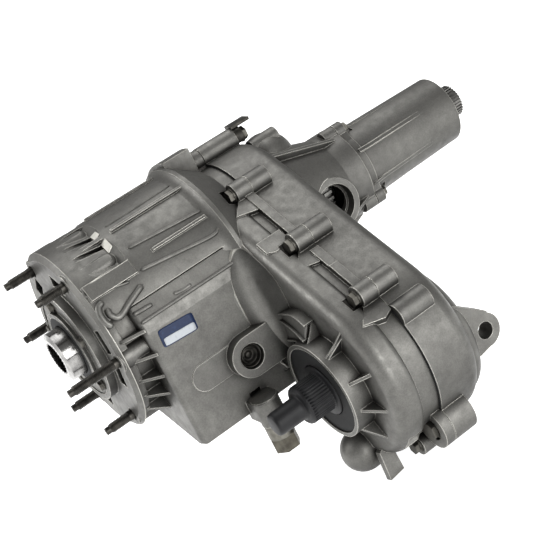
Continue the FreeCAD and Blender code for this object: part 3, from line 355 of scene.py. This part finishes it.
# Curve through knots by Catmull-Rom: p = ((2b) + (c - a) t + (2a - 5b + 4c - d) t^2
# + (3b - a - 3c + d) t^3) / 2 between b and c
def smoothPath(knots, stepsEach=8):
    knots = np.asarray(knots, float)
    padded = np.concatenate([2 * knots[:1] - knots[1:2], knots, 2 * knots[-1:] - knots[-2:-1]])
    a, b, c, d = padded[:-3, None], padded[1:-2, None], padded[2:-1, None], padded[3:, None]
    t = np.linspace(0, 1, stepsEach, endpoint=False)[None, :, None]
    path = (2 * b + (c - a) * t + (2 * a - 5 * b + 4 * c - d) * t ** 2 + (3 * b - a - 3 * c + d) * t ** 3) / 2
    return np.concatenate([path.reshape(-1, knots.shape[1]), knots[-1:]])


# Rib of round back along a path: centre + radius (side cos t + lift out sin t), where out leads
# away from the main shaft; the ends round off as sqrt(1 - (1 - d / radius)^2), down to 2%
def castRib(name, path, radius, lift, finish, steps=14):
    tangent = np.gradient(path, axis=0)
    tangent /= np.linalg.norm(tangent, axis=1, keepdims=True)
    out = path * np.array([0.0, 1.0, 1.0])
    out /= np.linalg.norm(out, axis=1, keepdims=True)
    side = np.cross(tangent, out)
    side /= np.linalg.norm(side, axis=1, keepdims=True)
    run = np.concatenate([[0.0], np.cumsum(np.linalg.norm(np.diff(path, axis=0), axis=1))])
    toEnd = np.minimum(run, run[-1] - run)
    swell = np.sqrt(np.clip(1 - (1 - np.clip(toEnd / radius, 0, 1)) ** 2, 0.0004, 1))
    t = np.linspace(0, 2 * math.pi, steps, endpoint=False)[None, :, None]
    reach = (radius * swell)[:, None, None]
    points = path[:, None] + reach * (np.cos(t) * side[:, None] + lift * np.sin(t) * out[:, None])
    return closedPiece(name, points, "case", finish)


# Hooked rib beside the mounting flange, knots as (x, degrees up from the -Y side)
hook = {"knots": ((0.0526, 26.7), (0.0335, 22.2), (0.0198, 18.8), (0.0135, 21.8), (0.0138, 26.4)),
        "loop": ((0.0150, 30.5), (0.0085, 29.0), (0.0058, 25.0), (0.0062, 20.5), (0.0095, 16.0)),
        "radius": 0.0031, "centreR": 0.0942, "lift": 0.95}


# Path on the barrel at radius R: y = -R cos(turn), z = R sin(turn)
def barrelPath(knots, centreR, stepsEach=8):
    x, turn = smoothPath(knots, stepsEach).T
    turn = np.radians(turn)
    return np.stack([x, -centreR * np.cos(turn), centreR * np.sin(turn)], -1)


for name, knots in (("hook_rib", hook["knots"]), ("hook_loop", hook["loop"])):
    castRib(name, barrelPath(knots, hook["centreR"]), hook["radius"], hook["lift"],
            "frontCasting")

# Long ridges of the barrel and the rim of the round-ended pocket behind the flange, with knots
# as in the hooked rib and a radius each
ridges = {"centreR": 0.0938, "runs": (
    (((0.0620, 48.6), (0.1000, 46.4), (0.1400, 44.2)), 0.0017),
    (((0.0580, 33.6), (0.0940, 30.8), (0.1290, 28.2), (0.1390, 29.6), (0.1425, 34.0)), 0.0019),
    (((0.0500, 36.5), (0.0200, 40.2), (0.0085, 41.2), (0.0050, 38.8), (0.0085, 36.6), (0.0200, 35.4),
      (0.0450, 31.5)), 0.0015),
    (((0.0620, 72.0), (0.0900, 72.0), (0.1380, 73.0)), 0.0014),
    (((0.0300, 15.6), (0.0400, 15.2), (0.0500, 15.0)), 0.0022),
    (((0.0700, 13.2), (0.0800, 12.2), (0.0900, 12.4)), 0.0024))}
for number, (knots, radius) in enumerate(ridges["runs"]):
    castRib("barrel_ridge%d" % number, barrelPath(knots, ridges["centreR"], 14), radius, 1.0,
            "frontCasting")

# Bright cut facets behind the flange, faintly crowned, on the slopes that end two pockets; their light colour
# is partly a cut finish and partly a painted highlight.  A point
# is x along the shaft, height h and sideways reach u in the frame of a turn up from -Y:
# y = -h cos(turn) + u sin(turn), z = h sin(turn) + u cos(turn).
cuts = {"facets": ((53.0, 2.5, 15.5, 4.5, 16.5), (78.0, -15.5, -4.0, -14.5, -6.5)),
        "low": (48.3, 89.35), "high": (54.2, 92.9), "crowned": 0.2, "thick": 0.0005}
(lowX, lowH), (highX, highH) = cuts["low"], cuts["high"]
for number, (turn, lowA, lowB, highA, highB) in enumerate(cuts["facets"]):
    share = np.linspace(0, 1, 9)[:, None]
    across = np.linspace(0, 1, 9)[None]
    x = lowX + share * (highX - lowX) + 0 * across
    h = lowH + share * (highH - lowH) + cuts["crowned"] * np.sin(math.pi * across)
    u = (1 - share) * (lowA + across * (lowB - lowA)) + share * (highA + across * (highB - highA))
    turn = math.radians(turn)
    y = -h * math.cos(turn) + u * math.sin(turn)
    z = h * math.sin(turn) + u * math.cos(turn)
    points = np.stack([x, y, z], -1) / 1000
    thicken(gridPiece("cut_facet%d" % number, points, "case", "cutAluminiumAndHighlight"),
            cuts["thick"])

# Ledge along the top edge of the sump box
ledge = {"start": 0.031, "end": 0.139, "y": -0.0955, "z": 0.0165, "radius": 0.0016}
x = np.linspace(ledge["start"], ledge["end"], 90)
path = np.stack([x, np.full_like(x, ledge["y"]), np.full_like(x, ledge["z"])], -1)
castRib("sump_ledge", path, ledge["radius"], 1.0, "frontCasting")

# Concave sweep from the side of the sump box to the front of the chain case
sweep = {"x": 0.1472, "knots": (  # y, z, wallReach, faceReach, tilt in degrees
             (-0.0855, 0.0360, 0.003, 0.002, -24), (-0.0885, 0.0300, 0.011, 0.009, -20),
             (-0.0930, 0.0200, 0.021, 0.021, -14), (-0.0968, 0.0070, 0.028, 0.033, -7),
             (-0.0979, -0.0100, 0.031, 0.039, 0), (-0.0979, -0.0300, 0.031, 0.040, 0),
             (-0.0979, -0.0520, 0.030, 0.036, 0), (-0.0979, -0.0760, 0.027, 0.024, 0),
             (-0.0979, -0.0980, 0.020, 0.010, 0)),
         "edge": 0.0815, "round": 0.012, "roundMost": 0.98, "caseTurn": 32.8,
         "sunkX": 0.002, "sunkY": 0.004, "tipShare": 0.01}


# At turn a a point is corner + wallReach (sin a - 1) x + faceReach (1 - cos a) n, n pointing
# outward and turned up by tilt; the front of the chain case falls back by its own edge round:
# fall = round - sqrt(round^2 - (round - inside)^2).
def sweepPiece():
    y, z, wallReach, faceReach, tilt = smoothPath(sweep["knots"], 10).T[:, :, None]
    tilt = np.radians(tilt)
    a = np.linspace(0, math.pi / 2, 18)[None]
    x = sweep["x"] + wallReach * (np.sin(a) - 1)
    out = faceReach * (1 - np.cos(a))
    ringY, ringZ = y - out * np.cos(tilt), z + out * np.sin(tilt)
    turn = math.radians(sweep["caseTurn"])
    inside = sweep["edge"] - (ringZ * math.cos(turn) - ringY * math.sin(turn))
    near = np.clip(sweep["round"] - inside, 0, sweep["round"] * sweep["roundMost"])
    x = x + (sweep["round"] - np.sqrt(sweep["round"] ** 2 - near ** 2)) * np.sin(a) ** 2
    shell = np.stack([x, ringY, ringZ], -1)
    back = np.concatenate([shell[:, -1:] + [sweep["sunkX"], 0.0, 0.0],
                           shell[:, :1] + [0.0, sweep["sunkY"], 0.0]], 1)
    section = drawnIn(np.concatenate([shell, back], 1), sweep["tipShare"])
    closedPiece("corner_sweep", section[::-1], "case", "frontCasting")


sweepPiece()

# Thin webs between the filler pad and the front output.  Each is a crest line in millimetres
# that falls straight back to the casting; the section is a plate with a chamfered crest, as
# pairs of how many drops below the crest line and how many half thicknesses from its middle.
webs = {"crests": (
            ((138.7, -111.0, -40.6), (137.0, -137.0, -35.6), (137.0, -153.2, -35.2), (136.0, -170.0, -42.0)),
            ((138.2, -112.0, -43.6), (134.0, -143.8, -47.6), (130.5, -166.0, -55.0)),
            ((147.0, -165.4, -40.2), (139.0, -167.0, -50.5), (129.0, -168.1, -61.2)),
            ((139.0, -112.0, -67.5), (134.0, -126.2, -63.1), (133.0, -144.1, -60.6), (130.0, -161.0, -61.2)),
            ((147.0, -209.2, -48.4), (139.0, -198.4, -60.5), (129.5, -191.6, -69.1))),
        "thick": 0.0020, "base": 0.1485, "sunk": 0.001, "crestDrop": 0.0006, "tipShare": 0.02,
        "section": ((2, 1), (0.5, 0.8), (0, 0.3), (0, -0.3), (0.5, -0.8), (2, -1)),
        "floorDrop": 0.0034, "floorThick": 0.001, "floors": ((0, 1), (1, 3))}
for number, crest in enumerate(webs["crests"]):
    path = smoothPath(np.array(crest) / 1000, 8)
    tangent = np.gradient(path, axis=0) * [0.0, 1.0, 1.0]
    tangent /= np.linalg.norm(tangent, axis=1, keepdims=True)
    side = np.cross(tangent, [1.0, 0.0, 0.0])[:, None] * webs["thick"] / 2
    top = path[:, None]
    base = np.concatenate([np.full((len(path), 1, 1), webs["base"] + webs["sunk"]), top[:, :, 1:]], 2)
    drop = np.array([[[webs["crestDrop"], 0, 0]]])
    rounding = [top + drop * down + side * share for down, share in webs["section"]]
    section = drawnIn(np.concatenate([base + side, *rounding, base - side], 1), webs["tipShare"])
    web = closedPiece("mouth_web%d" % number, section[::-1], "case", "frontCasting")
    # flat shading widens the painted rim highlight along the crest
    web.data.shade_flat()  # keeps the crest a hard, bright line

# Shallow floors between two webs, ruled from crest p to crest q and set back along the shaft:
# p + s (q - p) + drop x
for number, (first, second) in enumerate(webs["floors"]):
    edges = []
    for crest in (webs["crests"][first], webs["crests"][second]):
        path = smoothPath(np.array(crest) / 1000, 24)
        edges.append(path[np.linspace(0, len(path) - 1, 20).astype(int)])
    s = np.linspace(0, 1, 8)[None, :, None]
    sheet = edges[0][:, None] + s * (edges[1] - edges[0])[:, None] + [webs["floorDrop"], 0.0, 0.0]
    thicken(gridPiece("web_floor%d" % number, sheet, "case", "frontCasting"),
            webs["floorThick"])
print("ribs cast")


# Solid of revolution about a line along X or along -Y through a centre: at each reach of the
# profile a ring (r cos t, r sin t).  Flutes take depth (0.5 + 0.5 cos(flutes t)) off the radius
# between the two reaches of fluted.
def turnedPiece(name, profile, centre, along, body, finish, steps=72,
                flutes=0, fluteDepth=0.0, fluted=None):
    reach, radius = np.array(profile, float).T / 1000
    t = np.linspace(0, 2 * math.pi, steps, endpoint=False)
    reach, turn = np.meshgrid(reach, t, indexing="ij")
    radius = np.repeat(radius[:, None], steps, 1)
    if fluted:
        inside = (reach > fluted[0]) & (reach < fluted[1])
        radius = radius - inside * fluteDepth * (0.5 + 0.5 * np.cos(flutes * turn))
    across, up = radius * np.cos(turn), radius * np.sin(turn)
    if along == "X":
        points = np.stack([centre[0] + reach, centre[1] + across, centre[2] + up], -1)
    else:
        points = np.stack([centre[0] + across, centre[1] - reach, centre[2] + up], -1)
    return closedPiece(name, points[::-1], body, finish)


# Filler plug: a dished steel plug with a raised ring and a small boss, (reach, radius) in mm
filler = {"centre": (0.103, -0.098, -0.062), "profile": (
    (-2, 0.1), (-2, 11.7), (8.4, 11.7), (9, 11.1), (9, 10.2), (8.4, 9.7), (4.4, 9.3), (4.2, 8.6), (6.9, 8.1),
    (7.2, 7.5), (7.0, 6.6), (3.2, 6.2), (3.0, 3.4), (5.2, 3.0), (5.6, 2.4), (5.6, 0.1))}
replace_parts(turnedPiece("dished_fill_plug", filler["profile"], filler["centre"], "-Y", "case",
                        "plugSteel"), "fill_plug")

# Shipping plug of the front output: soft tapered tip, fluted grip and plain shank
shipping = {"centre": (0.0, -0.16307, -0.10509), "flutes": 40, "profile": (
    (72.2, 0.1), (72.2, 8.6), (72.8, 10.0), (74.2, 10.8), (76.5, 11.1), (88, 11.3), (98.5, 11.5),
    (100.6, 12.0), (101.6, 13.2), (101.9, 15.0), (102.2, 16.9), (103.2, 18.2), (105.0, 18.8),
    (105.2, 18.9), (110, 18.9), (118, 18.9), (126, 18.9), (126.9, 19.1), (127.2, 20.4), (127.4, 23.8),
    (127.9, 24.9), (129.6, 25.2), (130.4, 24.4), (130.4, 11.6), (150, 11.6), (150, 0.1))}
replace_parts(turnedPiece("fluted_shipping_plug", shipping["profile"], shipping["centre"], "X", "plug",
                        "plugPlastic", 320, shipping["flutes"], 0.0007,
                        (0.105, 0.1265)), "shipping_plug")

# Crown that closes the casting over the drain boss, a shallow mound on a rounded outline: height
# falls from the middle as 1 - s^4 over share s of the half sizes, then a short skirt
crown = {"centre": (0.094, -0.1085, -0.1010), "half": (0.0132, 0.0165), "rise": 0.0022, "skirt": 0.0012,
         "shares": (0.02, 0.3, 0.6, 0.8, 0.92, 1.0, 1.0), "power": 2 / 3}
s = np.array(crown["shares"])[:, None]
sink = np.zeros_like(s)
sink[-1] = crown["skirt"]
across, back = roundedOutline(48, crown["power"])
height = crown["rise"] * (1 - s ** 4) - sink + 0 * across
points = np.stack([s * crown["half"][0] * across, s * crown["half"][1] * back, height], -1)
closedPiece("drain_boss_crown", points + crown["centre"], "case", "frontCasting")
print("plugs turned")

# Label on the side of the sump box: plain blue field with a bare pale stripe
label = {"centre": (0.0572, -0.0982, -0.0063), "half": (0.0181, 0.0087), "tilt": -4.0, "corner": 9.0,
         "stripeCentre": (0.0572, -0.09855, -0.0104), "stripeHalf": (0.0160, 0.0037), "thick": 0.0002}


# Rounded outline of half sizes a, c, x = a sgn(cos t) |cos t|^(2/n), z = c sgn(sin t) |sin t|^(2/n),
# turned by tilt and filled inward by shares
def labelSheet(name, centre, half, finish):
    outline = roundedOutline(96, 2 / label["corner"])
    x, z = half[0] * outline[0], half[1] * outline[1]
    tilt = math.radians(label["tilt"])
    share = np.linspace(0.02, 1, 6)[:, None]
    flat = np.stack([share * (x * math.cos(tilt) - z * math.sin(tilt)), np.zeros((6, 96)),
                     share * (x * math.sin(tilt) + z * math.cos(tilt))], -1)
    sheet = gridPiece(name, flat + np.array(centre), "case", finish, True, (True, False))
    thicken(sheet, label["thick"])


labelSheet("label_field", label["centre"], label["half"], "labelInk")
labelSheet("label_stripe", label["stripeCentre"], label["stripeHalf"], "labelField")
print("label placed")

# Plain pale floor under the lowest point, soft lights and a pale surround
ground = cadBounds[0].z - 0.001
corners = [(-30, -30, ground), (30, -30, ground), (30, 30, ground), (-30, 30, ground)]
floorMesh = bpy.data.meshes.new("floor")
floorMesh.from_pydata(corners, [], [(0, 1, 2, 3)])
floor = bpy.data.objects.new("floor", floorMesh)
bpy.context.scene.collection.objects.link(floor)
floorPaint, tree, shader, place = newMaterial("pale matt floor")
shader.inputs["Base Color"].default_value = linearColor("#f4f4f4")
shader.inputs["Roughness"].default_value = 0.9
shader.inputs["Emission Color"].default_value = linearColor("#ffffff")
shader.inputs["Emission Strength"].default_value = 1.0  # keeps it white far from the lamps
floorMesh.materials.append(floorPaint)

studio = {
    "left": {"place": (-1.4, 0.8, 1.1), "aim": (0.1, -0.05, 0.0), "size": 1.1, "watts": 26},
    "front": {"place": (0.3, -2.1, 0.35), "aim": (0.15, -0.1, -0.05), "size": 1.3, "watts": 32},
    "top": {"place": (0.9, 0.5, 2.2), "aim": (0.25, 0.0, 0.0), "size": 1.8, "watts": 28},
}
for name, lamp in studio.items():
    light = bpy.data.lights.new(name, "AREA")
    light.shape, light.size, light.energy = "SQUARE", lamp["size"], lamp["watts"]
    holder = bpy.data.objects.new(name, light)
    holder.location = lamp["place"]
    holder.rotation_euler = (Vector(lamp["aim"]) - Vector(lamp["place"])).to_track_quat("-Z", "Y").to_euler()
    bpy.context.scene.collection.objects.link(holder)
world = bpy.data.worlds.new("studio")
world.use_nodes = True
world.node_tree.nodes["Background"].inputs["Color"].default_value = linearColor("#e6e6e4")
world.node_tree.nodes["Background"].inputs["Strength"].default_value = 0.34
bpy.context.scene.world = world
bpy.context.scene.view_settings.view_transform = "Standard"

# Camera at the photograph's place and angle
view = {"place": (-0.26666, -1.16592, 0.38718), "turn": (68.3877, 24.8275, -31.4388), "lens": 86.386}
camera = bpy.data.cameras.new("camera")
camera.lens, camera.sensor_width = view["lens"], 36
camera.clip_end = 100
eye = bpy.data.objects.new("camera", camera)
eye.location = view["place"]
eye.rotation_euler = [math.radians(angle) for angle in view["turn"]]
bpy.context.scene.collection.objects.link(eye)
bpy.context.scene.camera = eye

bpy.context.view_layer.update()
